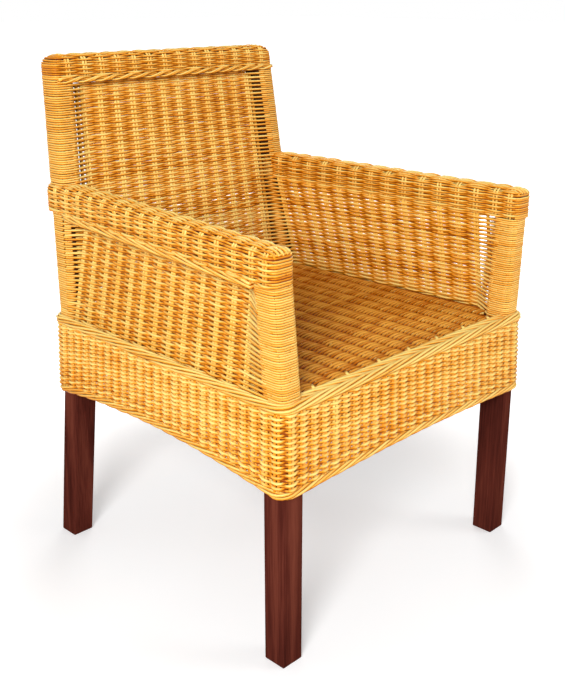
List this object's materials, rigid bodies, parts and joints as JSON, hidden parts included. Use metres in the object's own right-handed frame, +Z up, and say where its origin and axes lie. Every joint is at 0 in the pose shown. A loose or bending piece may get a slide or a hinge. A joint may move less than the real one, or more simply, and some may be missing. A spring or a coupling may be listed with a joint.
{
  "type": "rattan armchair",
  "caption": "Woven rattan dining armchair with a square back, low flared arms, a deep woven apron and square dark hardwood legs.",
  "frame": {"origin": "on the floor, under the middle of the chair's bounding box", "axes": "+Z up, the chair faces -Y, +X is the sitter's left"},
  "size_m": [0.6442, 0.6416, 0.876],
  "materials": {
    "leg_wood": "satin",
    "frame_wood": "plain sawn",
    "dowel_wood": "plain",
    "rattan_weave": "varnished",
    "rattan_plait": "varnished",
    "rattan_rod": "varnished",
    "steel": "zinc plated"
  },
  "bodies": {
    "root": {"apron": "rattan_weave", "apron_hem": "rattan_plait", "arm_border_left": "rattan_plait", "arm_border_right": "rattan_plait", "arm_cover_left": "rattan_weave", "arm_cover_right": "rattan_weave", "arm_post_left": "frame_wood", "arm_post_right": "frame_wood", "arm_post_wrap_left": "rattan_weave", "arm_post_wrap_right": "rattan_weave", "arm_rail_left": "frame_wood", "arm_rail_right": "frame_wood", "back_panel": "rattan_weave", "back_post_left": "frame_wood", "back_post_right": "frame_wood", "back_stakes": "rattan_rod", "band_border": "rattan_plait", "corner_block_front_left": "frame_wood", "corner_block_front_right": "frame_wood", "corner_block_rear_left": "frame_wood", "corner_block_rear_right": "frame_wood", "corner_bolts": "steel", "corner_nuts": "steel", "front_leg_left": "leg_wood", "front_leg_right": "leg_wood", "front_rail": "frame_wood", "lower_post_wrap_left": "rattan_weave", "lower_post_wrap_right": "rattan_weave", "post_dowels": "dowel_wood", "rail_dowels": "dowel_wood", "rear_leg_left": "leg_wood", "rear_leg_right": "leg_wood", "rear_rail": "frame_wood", "seat_bearer_front": "frame_wood", "seat_bearer_rear": "frame_wood", "seat_border": "rattan_plait", "seat_panel": "rattan_weave", "seat_stakes": "rattan_rod", "side_panel_left": "rattan_weave", "side_panel_right": "rattan_weave", "side_rail_left": "frame_wood", "side_rail_right": "frame_wood", "side_stakes_left": "rattan_rod", "side_stakes_right": "rattan_rod", "top_band": "rattan_weave", "top_rail": "frame_wood", "upper_post_wrap_left": "rattan_weave", "upper_post_wrap_right": "rattan_weave"}
  },
  "joints": []
}
